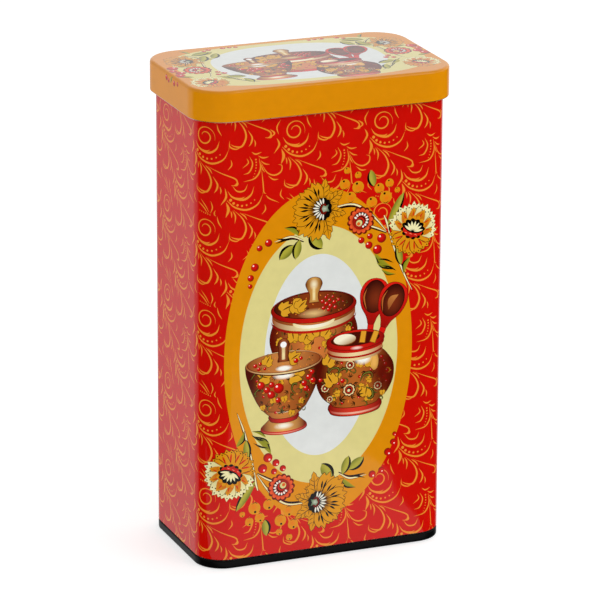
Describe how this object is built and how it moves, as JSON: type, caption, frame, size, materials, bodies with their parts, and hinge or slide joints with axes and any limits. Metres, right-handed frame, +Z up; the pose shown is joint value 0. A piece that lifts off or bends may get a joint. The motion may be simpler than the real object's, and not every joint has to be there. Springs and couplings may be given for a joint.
{
  "type": "lithographed tea tin",
  "caption": "Tall rectangular tinplate tin with rounded corners, a slip-on lid over a curled rim and a double-seamed base.",
  "frame": {"origin": "under the middle of the base, on the surface that the tin stands on", "axes": "+Z up along the body, +X to the right across the wide front, +Y from front to back (the decorated front faces -Y)"},
  "size_m": [0.1108, 0.0688, 0.2],
  "materials": {
    "body_tinplate": "gloss litho print under varnish, bare tinplate inside",
    "base_tinplate": "gloss black lacquer",
    "lid_tinplate": "gloss litho print under varnish, bare tinplate inside",
    "compound": "matt"
  },
  "bodies": {
    "tin": {"body_wrap": "body_tinplate", "base_end": "base_tinplate", "seam_compound": "compound"},
    "lid": {"lid": "lid_tinplate"}
  },
  "joints": [
    {"name": "lid_lift", "type": "slide", "parent": "tin", "child": "lid", "axis": [0, 0, 1], "range_m": [0, 0.06]}
  ]
}
